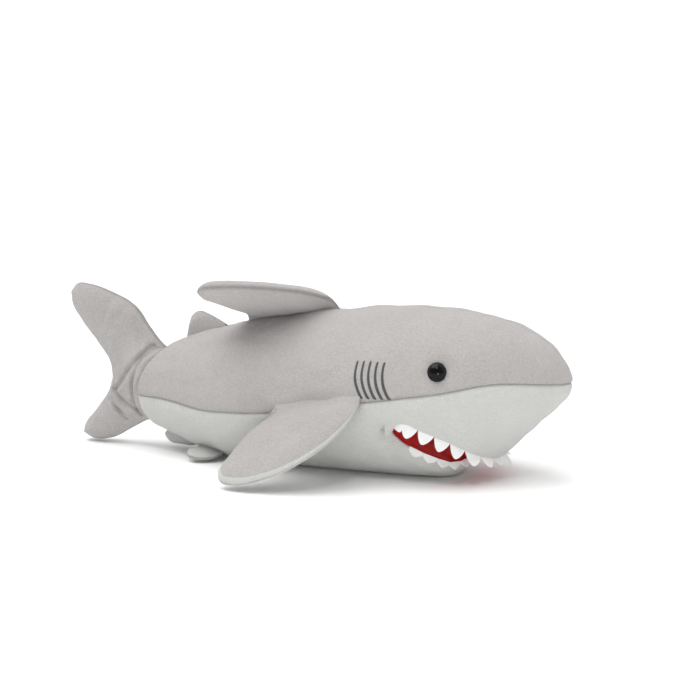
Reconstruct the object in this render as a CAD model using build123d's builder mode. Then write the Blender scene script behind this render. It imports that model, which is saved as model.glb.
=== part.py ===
"""Plush shark lying on its belly: sewn pile-fabric panels over separate stuffed forms.

Millimetres. +X points to the nose, +Y to the shark's left side and +Z up. The origin is on the
floor under the middle of the toy. Fins, tail and lower jaw are bodies of their own, and each one
bends about the seam that holds it. Every sewn panel is a thin shell round its own stuffing.
"""
import os
from math import cos, radians, sin, tan

from build123d import *

os.makedirs("parts", exist_ok=True)

# ---- Driving dimensions ----------------------------------------------------------------------
FABRIC = 2.0  # pile fabric with its backing
THIN_FABRIC = 1.2  # short-pile fabric of the smallest fins
LINING = 2.0  # red mouth lining
GAP = 0.4  # air between pieces of one body that are not sewn face to face
SEAM_GAP = 1.6  # room left at a hinge seam for the fabric to bend
BESIDE = 130.0  # further out than any side of the toy, for cutting shapes
BELOW = -20.0  # under the floor, for cutting shapes

# Trunk and head: distance along X, half-width, height of underside, height of back.
# Undersides below zero are cut flat where the belly presses on the floor.
BODY_SECTIONS = (
    (-166, 29, 28, 96),
    (-150, 35, 21, 103),
    (-130, 43, 12, 114),
    (-105, 54, 4, 123),
    (-75, 64, -3, 131),
    (-40, 73, -5, 140),
    (0, 79, -5, 147),
    (50, 82, -5, 152),
    (100, 81, -5, 157),
    (140, 75, -4, 157),
    (165, 69, 2, 155),
    (190, 56, 16, 150),
    (215, 43, 37, 143),
    (235, 32, 58, 131),
    (249, 20, 74, 117),
    (257, 10, 84, 105),
)
NOSE_X = 259.5

# Side seam between grey back and white underside, from tail to nose.
SIDE_SEAM = (
    (-200, 58), (-150, 58), (-88, 54), (-40, 57), (20, 65), (83, 78), (148, 88), (206, 97), (262, 94),
)

# Mouth, seen from the side. The hinge of the jaw runs through both mouth corners.
JAW_AXIS_X = 105.5
JAW_AXIS_Z = 47.0
UPPER_LIP = (
    (112, 55), (120, 57.5), (134, 53.5), (149, 47.5), (162, 41), (174, 33.5), (186, 26), (199, 19),
)
LOWER_LIP = ((119, 43), (129, 37), (139, 30.5), (149, 23.5), (158, 16), (169, 12))
PALATE_REAR_X = 104.5
JAW_REAR_X = 107.0
THROAT_X = 92.0  # end of the belly at the floor, which leaves room for the jaw to swing back
CHIN_LENGTH = 62.0  # chin in plan is half an ellipse about the mouth corners
CHIN_HALF_WIDTH = 76.0

# Teeth, cut as zigzag strips of felt.
FELT = 1.4
UPPER_TEETH_X = (113, 121, 136, 150, 163, 174, 184, 191.5, 195.5)  # where one tooth ends and the next begins
LOWER_TEETH_X = (124, 136, 147, 156, 163, 167)
UPPER_TOOTH_ASPECT = 0.82  # length over width
LOWER_TOOTH_ASPECT = 0.5
UPPER_TEETH_INSET = 2.2  # middle of the strip, in from the outside of the snout
UPPER_TEETH_DROP = 1.6  # under the lip's edge
LOWER_TEETH_OUTSET = 1.9  # middle of the strip, out from the chin
LOWER_TEETH_DROP = 0.5
TOOTH_TIP = 1.6  # half-width of the blunt tip, 1 mm before its end

# Safety eyes.
EYE_X = 151.0
EYE_Z = 109.0
EYE_DIAMETER = 18.0
EYE_DOME_HEIGHT = 7.0
STEM_DIAMETER = 4.5
STEM_LENGTH = 9.0
WASHER_DIAMETER = 16.0
WASHER_THICKNESS = 1.6
WASHER_DEPTH = 5.0  # outer face of the washer, in from the outside of the fabric

# Embroidered gill lines.
GILL_COUNT = 5
GILL_PITCH = 6.5
GILL_TOP = (77.0, 116.0)
GILL_BOTTOM = (83.0, 83.5)
GILL_BOW = 4.0
GILL_WIDTH = 2.6
GILL_HEIGHT = 0.8

# Tail.
TAIL_AXIS_X = -163.0
TAIL_ROOM = 14.0  # each side of the tail seam is cut back by this angle
TAIL_THICKNESS = 24.0
TAIL_OUTLINE = (
    (-158, 106), (-170, 121), (-186, 142), (-214, 156), (-243, 164.5), (-257, 158), (-259.4, 146),
    (-246, 124), (-228, 102), (-214, 80), (-218, 56), (-233, 34), (-249, 13), (-243, 3.6), (-216, 3.4),
    (-192, 17), (-172, 27), (-158, 28),
)
TAIL_ROOT_SECTIONS = ((-160, 30, 27, 101), (-172, 25, 27, 108), (-190, 14, 30, 116), (-204, 5, 40, 110))

# Fins: outlines run along the root (first number) and away from it (second number).
PECTORAL_ROOT = (15.0, -84.2, 65.5)
PECTORAL_ALONG = (0.984, -0.014, 0.178)
PECTORAL_DROOP = 45.0
PECTORAL_THICKNESS = 16.0
PECTORAL_OUTLINE = (
    (70, 0), (64, 17), (48, 38), (22, 58), (-14, 73), (-42, 76), (-57, 71), (-61, 61), (-52, 43),
    (-35, 19), (-15, 0),
)
DORSAL_ROOT = (-62.0, 0.0, 140.0)
DORSAL_ALONG = (0.989, 0.0, 0.146)
DORSAL_FLOP = 65.0  # angle from upright, over to the right side
DORSAL_THICKNESS = 22.0
DORSAL_OUTLINE = (
    (89, 0), (90, 24), (77, 50), (48, 75), (14, 91), (-6, 93), (-15, 84), (-14, 66), (-7, 38), (0, 0),
)
REAR_DORSAL_ROOT = (-134.0, 0.0, 115.5)
REAR_DORSAL_ALONG = (0.952, 0.0, 0.306)
REAR_DORSAL_THICKNESS = 13.0
REAR_DORSAL_OUTLINE = ((43, 0), (37, 11), (26, 18), (14, 15), (5, 8), (0, 0))
PELVIC_ROOT = (-106.0, -31.5, 11.6)
PELVIC_ALONG = (0.968, -0.19, -0.165)
PELVIC_DROOP = 12.0
PELVIC_THICKNESS = 7.0
PELVIC_OUTLINE = ((31, 0), (27, 12), (14, 22), (-2, 26), (-8, 18), (-2, 0))
ANAL_ROOT = (-152.0, 0.0, 19.5)
ANAL_ALONG = (0.93, 0.0, -0.368)
ANAL_THICKNESS = 10.0
ANAL_OUTLINE = ((33, 0), (28, 5.5), (15, 11), (2, 14), (-6, 9), (-3, 0))
ROOT_ANGLE = 23.0  # half-angle of a fin where it narrows to its root seam
# Cross-section of a stuffed rim: height above the middle plane as a fraction of the half-thickness,
# and distance in from the rim as a fraction of the rim's width.
RIM_PROFILE = ((0, 0.0), (0.55, 0.14), (0.87, 0.47), (1.0, 1.0))
RIM_WIDTH = 0.85  # of the half-thickness
TAIL_RIM_WIDTH = 0.45


# ---- Trunk and head --------------------------------------------------------------------------
def body_form(inset):
    """Closed form of trunk and head, set in from the outside of the fabric."""
    with BuildPart() as form:
        for x, half_width, bottom, top in BODY_SECTIONS:
            with BuildSketch(Plane.YZ.offset(x)):
                with Locations((0, (bottom + top) / 2)):
                    Ellipse(half_width - inset, (top - bottom) / 2 - inset)
        with BuildSketch(Plane.YZ.offset(NOSE_X - inset)):
            with Locations((0, 94)):
                Ellipse(6 - inset, 5.5 - inset)
        loft()
        split(bisect_by=Plane.XY.offset(inset), keep=Keep.TOP)
    return form.part


def side_prism(*points, smooth=()):
    """Cutting prism across the whole toy: a smooth edge closed by straight lines."""
    with BuildPart() as prism:
        with BuildSketch(Plane.XZ):
            with BuildLine():
                if smooth:
                    Spline(*smooth)
                    Polyline(smooth[-1], *points, smooth[0])
                else:
                    Polyline(*points, close=True)
            make_face()
        extrude(amount=BESIDE, both=True)
    return prism.part


def swallow_tail(angle, side):
    """Room in front of (side 1) or behind (side -1) the tail seam, open by angle at each flank."""
    spread = side * BESIDE * tan(radians(angle))
    edge = TAIL_AXIS_X + side * SEAM_GAP / 2
    far_edge = edge - side * BESIDE
    with BuildPart() as room:
        with BuildSketch(Plane.XY.offset(BELOW)):
            with BuildLine():
                Polyline(
                    (edge, 0), (edge + spread, BESIDE), (far_edge, BESIDE),
                    (far_edge, -BESIDE), (edge + spread, -BESIDE), close=True,
                )
            make_face()
        extrude(amount=2 * BESIDE)
    return room.part


outer = body_form(0)
inner = body_form(FABRIC)
above_seam = side_prism((SIDE_SEAM[-1][0], 260), (SIDE_SEAM[0][0], 260), smooth=SIDE_SEAM)
palate_edge = ((PALATE_REAR_X, JAW_AXIS_Z + 1),) + UPPER_LIP
mouth_room = side_prism((UPPER_LIP[-1][0], BELOW), (THROAT_X - 5, BELOW), smooth=palate_edge)
tail_room = swallow_tail(TAIL_ROOM, 1)
head_half = side_prism((PALATE_REAR_X, BELOW), (270, BELOW), (270, 200), (PALATE_REAR_X, 200))


def lip_layer(edge, thickness):
    """Layer of even thickness above (or, if negative, below) a lip's edge."""
    raised = tuple((x, z + thickness) for x, z in edge)
    with BuildPart() as layer:
        with BuildSketch(Plane.XZ):
            with BuildLine():
                Spline(*edge)
                Line(edge[-1], raised[-1])
                Spline(*raised)
                Line(raised[0], edge[0])
            make_face()
        extrude(amount=BESIDE, both=True)
    return layer.part


palate_layer = lip_layer(palate_edge, LINING)
shell = (outer - inner) - mouth_room - tail_room
back_shell = shell & above_seam
white_shell = shell - above_seam

# Eyes: where they sit on the back panel, and which way they face.
EYE_NORMAL = Vector(0.33, -0.87, 0.36).normalized()


def surface_y(x, z):
    """Half-width of the body at a place, on straight lines between its sections."""
    before = [s for s in BODY_SECTIONS if s[0] <= x][-1]
    after = [s for s in BODY_SECTIONS if s[0] > x][0]
    part_way = (x - before[0]) / (after[0] - before[0])
    half_width, bottom, top = (a + (b - a) * part_way for a, b in zip(before[1:], after[1:]))
    middle = (bottom + top) / 2
    return half_width * max(0, 1 - ((z - middle) / (top - middle)) ** 2) ** 0.5


eye_plane = Plane(origin=(EYE_X, -surface_y(EYE_X, EYE_Z), EYE_Z), z_dir=EYE_NORMAL)

with BuildPart() as eye_hole:
    with BuildSketch(eye_plane.offset(3)):
        Circle(STEM_DIAMETER / 2 + GAP)
    extrude(amount=-(STEM_LENGTH + 6))
with BuildPart() as washer_pocket:
    with BuildSketch(eye_plane.offset(-FABRIC - GAP)):
        Circle(WASHER_DIAMETER / 2 + GAP)
    extrude(amount=-WASHER_DEPTH - WASHER_THICKNESS - GAP)

with BuildPart() as back_panel_right:
    add(back_shell)
    split(bisect_by=Plane.XZ, keep=Keep.TOP)
    add(eye_hole.part, mode=Mode.SUBTRACT)
    add(washer_pocket.part, mode=Mode.SUBTRACT)
back_panel_right.part.label = "back_panel_right"

with BuildPart() as snout_panel:
    add(white_shell)
    add(head_half, mode=Mode.INTERSECT)
snout_panel.part.label = "snout_panel"

with BuildPart() as belly_panel:
    add(white_shell)
    add(head_half, mode=Mode.SUBTRACT)
belly_panel.part.label = "belly_panel"

with BuildPart() as body_filling:
    add(inner)
    add(mouth_room, mode=Mode.SUBTRACT)
    add(palate_layer, mode=Mode.SUBTRACT)
    add(tail_room, mode=Mode.SUBTRACT)
    for pocket in (eye_hole.part, washer_pocket.part):
        add(pocket, mode=Mode.SUBTRACT)
        add(mirror(pocket, about=Plane.XZ, mode=Mode.PRIVATE), mode=Mode.SUBTRACT)
body_filling.part.label = "body_filling"

with BuildPart() as palate_lining:
    add(inner)
    add(palate_layer, mode=Mode.INTERSECT)
palate_lining.part.label = "palate_lining"

# ---- Eyes ------------------------------------------------------------------------------------
with BuildPart() as eye_right:
    with BuildSketch(eye_plane.offset(-2)):
        Circle(EYE_DIAMETER / 2)
    extrude(amount=EYE_DOME_HEIGHT + 2)
    fillet(eye_right.faces().sort_by(Axis(eye_plane.origin, EYE_NORMAL))[-1].edges(), EYE_DOME_HEIGHT - 0.6)
    add(outer, mode=Mode.SUBTRACT)
    with BuildSketch(eye_plane.offset(2)):
        Circle(STEM_DIAMETER / 2)
    extrude(amount=-(STEM_LENGTH + 2))
eye_right.part.label = "eye_right"

with BuildPart() as eye_washer_right:
    with BuildSketch(eye_plane.offset(-WASHER_DEPTH)):
        Circle(WASHER_DIAMETER / 2)
        Circle(STEM_DIAMETER / 2, mode=Mode.SUBTRACT)
    extrude(amount=-WASHER_THICKNESS)
eye_washer_right.part.label = "eye_washer_right"

# ---- Gills -----------------------------------------------------------------------------------
raised_form = body_form(-GILL_HEIGHT)
with BuildPart() as gill_stitches_right:
    with BuildSketch(Plane.XZ.offset(40)):
        for number in range(GILL_COUNT):
            shift = number * GILL_PITCH
            top = (GILL_TOP[0] + shift, GILL_TOP[1])
            bottom = (GILL_BOTTOM[0] + shift, GILL_BOTTOM[1])
            middle = ((top[0] + bottom[0]) / 2 - GILL_BOW, (top[1] + bottom[1]) / 2)
            with BuildLine(mode=Mode.PRIVATE) as centre:
                ThreePointArc(top, middle, bottom)
            SlotArc(centre.edges()[0], GILL_WIDTH)
    extrude(amount=60)
    add(raised_form, mode=Mode.INTERSECT)
    add(outer, mode=Mode.SUBTRACT)
gill_stitches_right.part.label = "gill_stitches_right"


# ---- Lower jaw -------------------------------------------------------------------------------
def jaw_form(inset):
    """Chin under the mouth, rounded in plan, before its shell and stuffing part."""
    lip = tuple((x, z - inset) for x, z in ((JAW_REAR_X, JAW_AXIS_Z - 1),) + LOWER_LIP)
    with BuildPart() as form:
        add(outer if not inset else inner)
        add(side_prism((lip[-1][0], BELOW), (JAW_REAR_X, BELOW), smooth=lip), mode=Mode.INTERSECT)
        with BuildSketch(Plane.XY.offset(BELOW)):
            with Locations((JAW_AXIS_X, 0)):
                Ellipse(CHIN_LENGTH - inset, CHIN_HALF_WIDTH - inset)
        extrude(amount=100, mode=Mode.INTERSECT)
    return form.part


jaw_outer = jaw_form(0)
jaw_core = jaw_form(FABRIC)
jaw_lip = ((JAW_REAR_X, JAW_AXIS_Z - 1),) + LOWER_LIP
tongue_layer = lip_layer(jaw_lip, -LINING)

with BuildPart() as jaw_inside:
    add(inner)
    with BuildSketch(Plane.XY.offset(BELOW)):
        with Locations((JAW_AXIS_X, 0)):
            Ellipse(CHIN_LENGTH - FABRIC, CHIN_HALF_WIDTH - FABRIC)
    extrude(amount=100, mode=Mode.INTERSECT)

with BuildPart() as jaw_panel:
    add(jaw_outer)
    add(jaw_inside.part, mode=Mode.SUBTRACT)
jaw_panel.part.label = "jaw_panel"

with BuildPart() as tongue_lining:
    add(jaw_inside.part)
    add(tongue_layer, mode=Mode.INTERSECT)
    add(jaw_outer, mode=Mode.INTERSECT)
tongue_lining.part.label = "tongue_lining"

with BuildPart() as jaw_filling:
    add(jaw_core)
jaw_filling.part.label = "jaw_filling"


# ---- Teeth -----------------------------------------------------------------------------------
def felt_teeth(stations, aspect):
    """Zigzag felt strip: one flat tooth between each pair of stations along the lip.

    A station is a point on the lip with the direction in which the teeth point there.
    """
    with BuildPart() as strip:
        for (start, lean), (end, _) in zip(stations, stations[1:]):
            base = Vector(*start)
            chord = Vector(*end) - base
            along = chord.normalized()
            down = Vector(*lean)
            down = (down - along * down.dot(along)).normalized()
            width = chord.length
            length = aspect * width
            with BuildSketch(Plane(origin=base, x_dir=along, z_dir=along.cross(down))):
                with BuildLine():
                    Polyline(
                        (-0.5, 0), (width + 0.5, 0), (width + 0.5, 2), (width / 2 + TOOTH_TIP, length - 1),
                        (width / 2, length), (width / 2 - TOOTH_TIP, length - 1), (-0.5, 2), close=True,
                    )
                make_face()
            extrude(amount=FELT / 2, both=True)
    return strip.part


def on_curve(points, x):
    """Height of a lip at a place, on straight lines between its points."""
    before = [p for p in points if p[0] <= x][-1]
    after = [p for p in points if p[0] > x][0]
    return before[1] + (after[1] - before[1]) * (x - before[0]) / (after[0] - before[0])


def jaw_y(x, z):
    """Half-width of the chin: the body's own, rounded off in plan."""
    return min(surface_y(x, z), CHIN_HALF_WIDTH * (1 - ((x - JAW_AXIS_X) / CHIN_LENGTH) ** 2) ** 0.5)


def both_sides(side):
    """Stations of one side, from the mouth corner to the front, and back along the other side."""
    far_side = [((x, -y, z), (dx, -dy, dz)) for (x, y, z), (dx, dy, dz) in reversed(side)]
    return side + far_side


upper_side = []
for x in UPPER_TEETH_X:
    lip_z = on_curve(palate_edge, x)
    front = max(0, (x - 160) / 36)  # 0 along the flank, 1 at the tip of the lip
    place = (x - 0.5, -(surface_y(x, lip_z) - UPPER_TEETH_INSET), lip_z - UPPER_TEETH_DROP)
    upper_side.append((place, (0.9 * front, -0.3, -1)))
lower_side = []
for x in LOWER_TEETH_X:
    lip_z = on_curve(jaw_lip, x)
    front = max(0, (x - 140) / 27)
    place = (x + 2.2 * front, -(jaw_y(x, lip_z) + LOWER_TEETH_OUTSET), lip_z - LOWER_TEETH_DROP)
    lower_side.append((place, (0.3 * front, -0.1, -1)))

with BuildPart() as upper_tooth_strip:
    add(felt_teeth(both_sides(upper_side), UPPER_TOOTH_ASPECT))
upper_tooth_strip.part.label = "upper_tooth_strip"

with BuildPart() as lower_tooth_strip:
    add(felt_teeth(both_sides(lower_side), LOWER_TOOTH_ASPECT))
lower_tooth_strip.part.label = "lower_tooth_strip"


# ---- Tail ------------------------------------------------------------------------------------
def inward(outline, distance):
    """Outline moved in point by point. Its first and last points stay on the line that joins them."""
    last = len(outline) - 1
    moved = []
    for number, (x, y) in enumerate(outline):
        before = outline[max(number - 1, 0)]
        after = outline[min(number + 1, last)]
        along = Vector(after[0] - before[0], after[1] - before[1]).normalized()
        if number in (0, last):
            other_end = outline[last - number]
            toward = Vector(other_end[0] - x, other_end[1] - y).normalized()
            moved.append((x + toward.X * distance, y + toward.Y * distance))
        else:
            moved.append((x - along.Y * distance, y + along.X * distance))
    return moved


def pillow(plane, outline, thickness, inset, rim_width=RIM_WIDTH):
    """Stuffed flat form with rounded rims, the same on both sides of its middle plane."""
    half = thickness / 2 - inset
    with BuildPart() as form:
        for side in (-1, 1):
            for height, edge in RIM_PROFILE:
                rim = inward(outline, inset + edge * rim_width * half)
                with BuildSketch(plane.offset(side * height * half)):
                    with BuildLine():
                        Spline(*rim)
                        Line(rim[-1], rim[0])
                    make_face()
            loft()
    return form.part


def tail_form(inset):
    """Crescent tail fin with the thick root that joins the trunk."""
    with BuildPart() as form:
        add(pillow(Plane.XZ, TAIL_OUTLINE, TAIL_THICKNESS, inset, TAIL_RIM_WIDTH))
    with BuildPart() as root:
        for x, half_width, bottom, top in TAIL_ROOT_SECTIONS:
            with BuildSketch(Plane.YZ.offset(x)):
                with Locations((0, (bottom + top) / 2)):
                    Ellipse(half_width - inset, (top - bottom) / 2 - inset)
        loft()
    return (form.part + root.part) - swallow_tail(TAIL_ROOM, -1)


tail_outer = tail_form(0)
tail_inner = tail_form(FABRIC)

with BuildPart() as tail_panel_right:
    add(tail_outer)
    add(tail_inner, mode=Mode.SUBTRACT)
    split(bisect_by=Plane.XZ, keep=Keep.TOP)
tail_panel_right.part.label = "tail_panel_right"

with BuildPart() as tail_filling:
    add(tail_inner)
tail_filling.part.label = "tail_filling"


# ---- Fins ------------------------------------------------------------------------------------
def fin_plane(root, along, span):
    """Middle plane of a fin: X runs along the root seam and Y away from the body."""
    x_dir = Vector(*along).normalized()
    y_dir = Vector(*span)
    y_dir = (y_dir - x_dir * y_dir.dot(x_dir)).normalized()
    return Plane(origin=root, x_dir=x_dir, z_dir=x_dir.cross(y_dir))


def fin_form(plane, outline, thickness, inset):
    """Stuffed fin that narrows to a thin seam at its root."""
    apex = inset / sin(radians(ROOT_ANGLE))
    rise = BESIDE * tan(radians(ROOT_ANGLE))
    with BuildPart() as form:
        add(pillow(plane, outline, thickness, inset))
        taper_plane = Plane(origin=plane.origin, x_dir=plane.y_dir, z_dir=plane.x_dir)
        with BuildSketch(taper_plane.offset(-BESIDE)):
            with BuildLine():
                Polyline((apex, 0), (apex + BESIDE, rise), (apex + BESIDE, -rise), close=True)
            make_face()
        extrude(amount=2 * BESIDE, mode=Mode.INTERSECT)
    return form.part


def fin_pieces(plane, outline, thickness, fabric=FABRIC):
    """Two fabric panels, one on each side of the middle plane, and the stuffing between them."""
    whole = fin_form(plane, outline, thickness, 0)
    filling = fin_form(plane, outline, thickness, fabric)
    with BuildPart() as front:
        add(whole)
        add(filling, mode=Mode.SUBTRACT)
        split(bisect_by=plane, keep=Keep.TOP)
    with BuildPart() as back:
        add(whole)
        add(filling, mode=Mode.SUBTRACT)
        split(bisect_by=plane, keep=Keep.BOTTOM)
    return front.part, back.part, filling


def droop(angle):
    """Direction out to the right side and down by an angle."""
    return (0, -cos(radians(angle)), -sin(radians(angle)))


pectoral_plane = fin_plane(PECTORAL_ROOT, PECTORAL_ALONG, droop(PECTORAL_DROOP))
pectoral_bottom, pectoral_top, pectoral_core = fin_pieces(
    pectoral_plane, PECTORAL_OUTLINE, PECTORAL_THICKNESS
)
pelvic_plane = fin_plane(PELVIC_ROOT, PELVIC_ALONG, droop(PELVIC_DROOP))
pelvic_bottom, pelvic_top, pelvic_core = fin_pieces(
    pelvic_plane, PELVIC_OUTLINE, PELVIC_THICKNESS, THIN_FABRIC
)
dorsal_plane = fin_plane(DORSAL_ROOT, DORSAL_ALONG, droop(DORSAL_FLOP - 90))
dorsal_under, dorsal_over, dorsal_core = fin_pieces(dorsal_plane, DORSAL_OUTLINE, DORSAL_THICKNESS)
rear_dorsal_plane = fin_plane(REAR_DORSAL_ROOT, REAR_DORSAL_ALONG, (0, 0, 1))
rear_dorsal_right, rear_dorsal_left, rear_dorsal_core = fin_pieces(
    rear_dorsal_plane, REAR_DORSAL_OUTLINE, REAR_DORSAL_THICKNESS
)
anal_plane = fin_plane(ANAL_ROOT, ANAL_ALONG, (0, 0, -1))
anal_left, anal_right, anal_core = fin_pieces(anal_plane, ANAL_OUTLINE, ANAL_THICKNESS, THIN_FABRIC)

# ---- Files -----------------------------------------------------------------------------------
single_pieces = {
    "snout_panel": snout_panel.part,
    "belly_panel": belly_panel.part,
    "body_filling": body_filling.part,
    "palate_lining": palate_lining.part,
    "upper_tooth_strip": upper_tooth_strip.part,
    "jaw_panel": jaw_panel.part,
    "tongue_lining": tongue_lining.part,
    "lower_tooth_strip": lower_tooth_strip.part,
    "jaw_filling": jaw_filling.part,
    "tail_filling": tail_filling.part,
    "dorsal_fin_over": dorsal_over,
    "dorsal_fin_under": dorsal_under,
    "dorsal_fin_filling": dorsal_core,
    "rear_dorsal_fin_right": rear_dorsal_right,
    "rear_dorsal_fin_left": rear_dorsal_left,
    "rear_dorsal_fin_filling": rear_dorsal_core,
    "anal_fin_right": anal_right,
    "anal_fin_left": anal_left,
    "anal_fin_filling": anal_core,
}
# Pieces made for the right side and mirrored to the left.
paired_pieces = {
    "back_panel": back_panel_right.part,
    "eye": eye_right.part,
    "eye_washer": eye_washer_right.part,
    "gill_stitches": gill_stitches_right.part,
    "tail_panel": tail_panel_right.part,
    "pectoral_fin_top": pectoral_top,
    "pectoral_fin_bottom": pectoral_bottom,
    "pectoral_fin_filling": pectoral_core,
    "pelvic_fin_top": pelvic_top,
    "pelvic_fin_bottom": pelvic_bottom,
    "pelvic_fin_filling": pelvic_core,
}
for name, piece in single_pieces.items():
    piece.label = name
    export_step(piece, f"parts/{name}.step")
for name, piece in paired_pieces.items():
    for side, solid in (("right", piece), ("left", mirror(piece, about=Plane.XZ))):
        solid.label = f"{name}_{side}"
        export_step(solid, f"parts/{name}_{side}.step")
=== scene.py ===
"""Looks of the plush shark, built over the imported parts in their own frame.

Shapes are worked out in millimetres and stored in metres. +X points to the nose, +Y to the shark's
left side and +Z up. Every sewn panel is a fine grid of its own, pulled in along its seams.
"""

from math import cos, pi, radians, sin, tau

import bpy
import numpy as np
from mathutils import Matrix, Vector


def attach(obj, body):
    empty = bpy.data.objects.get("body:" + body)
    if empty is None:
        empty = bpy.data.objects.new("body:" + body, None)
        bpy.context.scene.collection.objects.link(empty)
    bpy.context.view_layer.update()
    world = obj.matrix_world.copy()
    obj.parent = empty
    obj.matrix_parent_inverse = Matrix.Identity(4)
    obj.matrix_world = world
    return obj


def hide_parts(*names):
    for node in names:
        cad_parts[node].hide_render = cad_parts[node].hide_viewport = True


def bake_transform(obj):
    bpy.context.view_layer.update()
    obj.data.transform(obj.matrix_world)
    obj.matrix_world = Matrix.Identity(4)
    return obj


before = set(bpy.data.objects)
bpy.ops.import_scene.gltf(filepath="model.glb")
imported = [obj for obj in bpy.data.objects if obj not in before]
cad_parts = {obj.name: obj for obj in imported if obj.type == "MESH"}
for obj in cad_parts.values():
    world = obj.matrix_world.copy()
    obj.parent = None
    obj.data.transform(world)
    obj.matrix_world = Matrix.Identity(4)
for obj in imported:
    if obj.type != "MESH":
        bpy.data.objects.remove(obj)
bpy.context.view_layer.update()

MM = 0.001
POINTS_AT_A_TIME = 4000

# ---- Trunk and head: shape ---------------------------------------------------------------------
# Distance along X, half-width, height of underside, height of back.
BODY_SECTIONS = (
    (-195, 27, 32, 95), (-166, 34, 25, 102), (-150, 38, 19, 107), (-130, 44, 11, 115), (-105, 54, 4, 123),
    (-75, 64, -3, 131), (-40, 73, -5, 140), (0, 79, -5, 147), (50, 82, -5, 152), (100, 81, -5, 157),
    (140, 75, -4, 157), (165, 69, 2, 155), (190, 56, 16, 150), (215, 43, 37, 143), (235, 32, 58, 131),
    (249, 21, 73, 118), (258, 11, 83, 107), (262, 0, 94.5, 95),
)
SIDE_SEAM = (
    (-200, 58), (-150, 58), (-88, 54), (-40, 57), (20, 65), (83, 78), (148, 88), (206, 97), (262, 94),
)
UPPER_LIP = (
    (104.5, 48), (109, 48.6), (112.5, 55), (118, 61), (124, 61), (134, 57), (149, 50), (162, 43),
    (174, 34.5), (186, 26), (199, 19), (204, 6), (270, -60),
)
LOWER_LIP = (
    (100, 49), (107.5, 49), (111, 45), (119, 38.5), (129, 33), (139, 27.5), (149, 22), (158, 16),
    (169, 12),
)
MOUTH_CORNER_X = 105.5
MOUTH_CORNER_Z = 47.0
CHIN_LENGTH = 62.0
CHIN_HALF_WIDTH = 76.0
EYE_X = 151.0
EYE_Z = 109.0
EYE_NORMAL = (0.33, -0.87, 0.36)
EYE_OUT = 0.925  # of the half-width there
CHIN_SQUARE = 8.0  # how sharply the chin's width takes over from the body's
CHIN_TOP = 60.0
CHIN_FADE = 14.0
CHIN_LIFT = 12.0
CHIN_LIFT_START_X = 149.0
CHIN_LIFT_RUN = 18.5
BEHIND_CHIN = 15.0
BEHIND_CHIN_WIDENING = 60.0
FLOOR_SOFTNESS = 2.0
# Relief in the sewn skins.
PILE_HEIGHT = 0.07
BIG_SWELL_HEIGHT = 0.85
SMALL_SWELL_HEIGHT = 0.3
PUCKER_HEIGHT = 0.38
PUCKER_PITCH = 6.2
SEAM_DIP_DEPTH = 1.2
SEAM_DIP_WIDTH = 7.0
# Depth and half-width of the places that a seam, an eye or the mouth's corner pulls in.
SEAM_GROOVE = (1.5, 1.5)
BACK_SEAM_GROOVE = (0.7, 1.6)
EYE_DIMPLE = (1.5, 9.0)
CORNER_DIMPLE = (2.2, 15.0)
RIGHT = 1
LEFT = -1


def between(t, step, start, end, leaving, arriving):
    """Cubic from one value to the next with a slope at each, at a share t of the step."""
    return (
        start * (1 + 2 * t) * (1 - t) ** 2 + end * t * t * (3 - 2 * t)
        + step * (leaving * t * (1 - t) ** 2 + arriving * t * t * (t - 1))
    )


def smooth_curve(xs, ys, flat_end=False):
    """Smooth curve through points, without overshoot. The xs rise."""
    xs, ys = np.array(xs, float), np.array(ys, float)
    step = np.diff(xs)
    slope = np.diff(ys) / step
    tangent = np.r_[slope[0], np.zeros(len(xs) - 2), 0 if flat_end else slope[-1]]
    before, after = slope[:-1], slope[1:]
    rising = before * after > 0
    total = np.where(rising, before + after, 1)
    tangent[1:-1] = np.where(rising, 2 * before * after / total, 0)

    def at(x):
        x = np.clip(x, xs[0], xs[-1])
        i = np.clip(np.searchsorted(xs, x, side="right") - 1, 0, len(step) - 1)
        return between((x - xs[i]) / step[i], step[i], ys[i], ys[i + 1], tangent[i], tangent[i + 1])

    return at


def trace(points, count):
    """A smooth path through points, as a number of evenly spaced ones."""
    points = np.array(points, float)
    run = np.r_[0, np.cumsum(np.linalg.norm(np.diff(points, axis=0), axis=1))]
    tangent = np.gradient(points, run, axis=0)
    s = np.linspace(0, run[-1], 40 * len(points))
    i = np.clip(np.searchsorted(run, s, side="right") - 1, 0, len(points) - 2)
    step = (run[i + 1] - run[i])[:, None]
    t = (s - run[i])[:, None] / step
    dense = between(t, step, points[i], points[i + 1], tangent[i], tangent[i + 1])
    length = np.r_[0, np.cumsum(np.linalg.norm(np.diff(dense, axis=0), axis=1))]
    spots = np.linspace(0, length[-1], count)
    return np.stack([np.interp(spots, length, dense[:, k]) for k in range(points.shape[1])], axis=-1)


def ease(t):
    """0 to 1, starting and ending softly."""
    t = np.clip(t, 0, 1)
    return t * t * (3 - 2 * t)


def bell(distance, width):
    """1 on a line, fading to 0 on both sides of it."""
    return np.exp(-(distance / width) ** 2)


def dent(distance, depth, width):
    """How far the skin is pulled in beside a seam or a point."""
    return depth * bell(distance, width)


def pillow(share):
    """Fullness of a stuffed panel, from 0 at its seam to 1 inside."""
    return np.clip(1 - (1 - share) ** 2.2, 0, 1) ** 0.56


def waves(seed, size, count=9):
    """Soft random swell with bumps of about that size, as a function of position."""
    random = np.random.default_rng(seed)
    direction = random.normal(size=(count, 3))
    direction /= np.linalg.norm(direction, axis=1)[:, None]
    pace = direction * (tau / size) * random.uniform(0.7, 1.4, (count, 1))
    start = random.uniform(0, tau, count)

    def at(points):
        return np.sin(points @ pace.T + start).sum(-1) / count ** 0.5

    return at


def unit(v):
    """The same direction with a length of 1."""
    v = np.asarray(v, float)
    return v / np.maximum(np.linalg.norm(v, axis=-1, keepdims=True), 1e-9)


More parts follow.
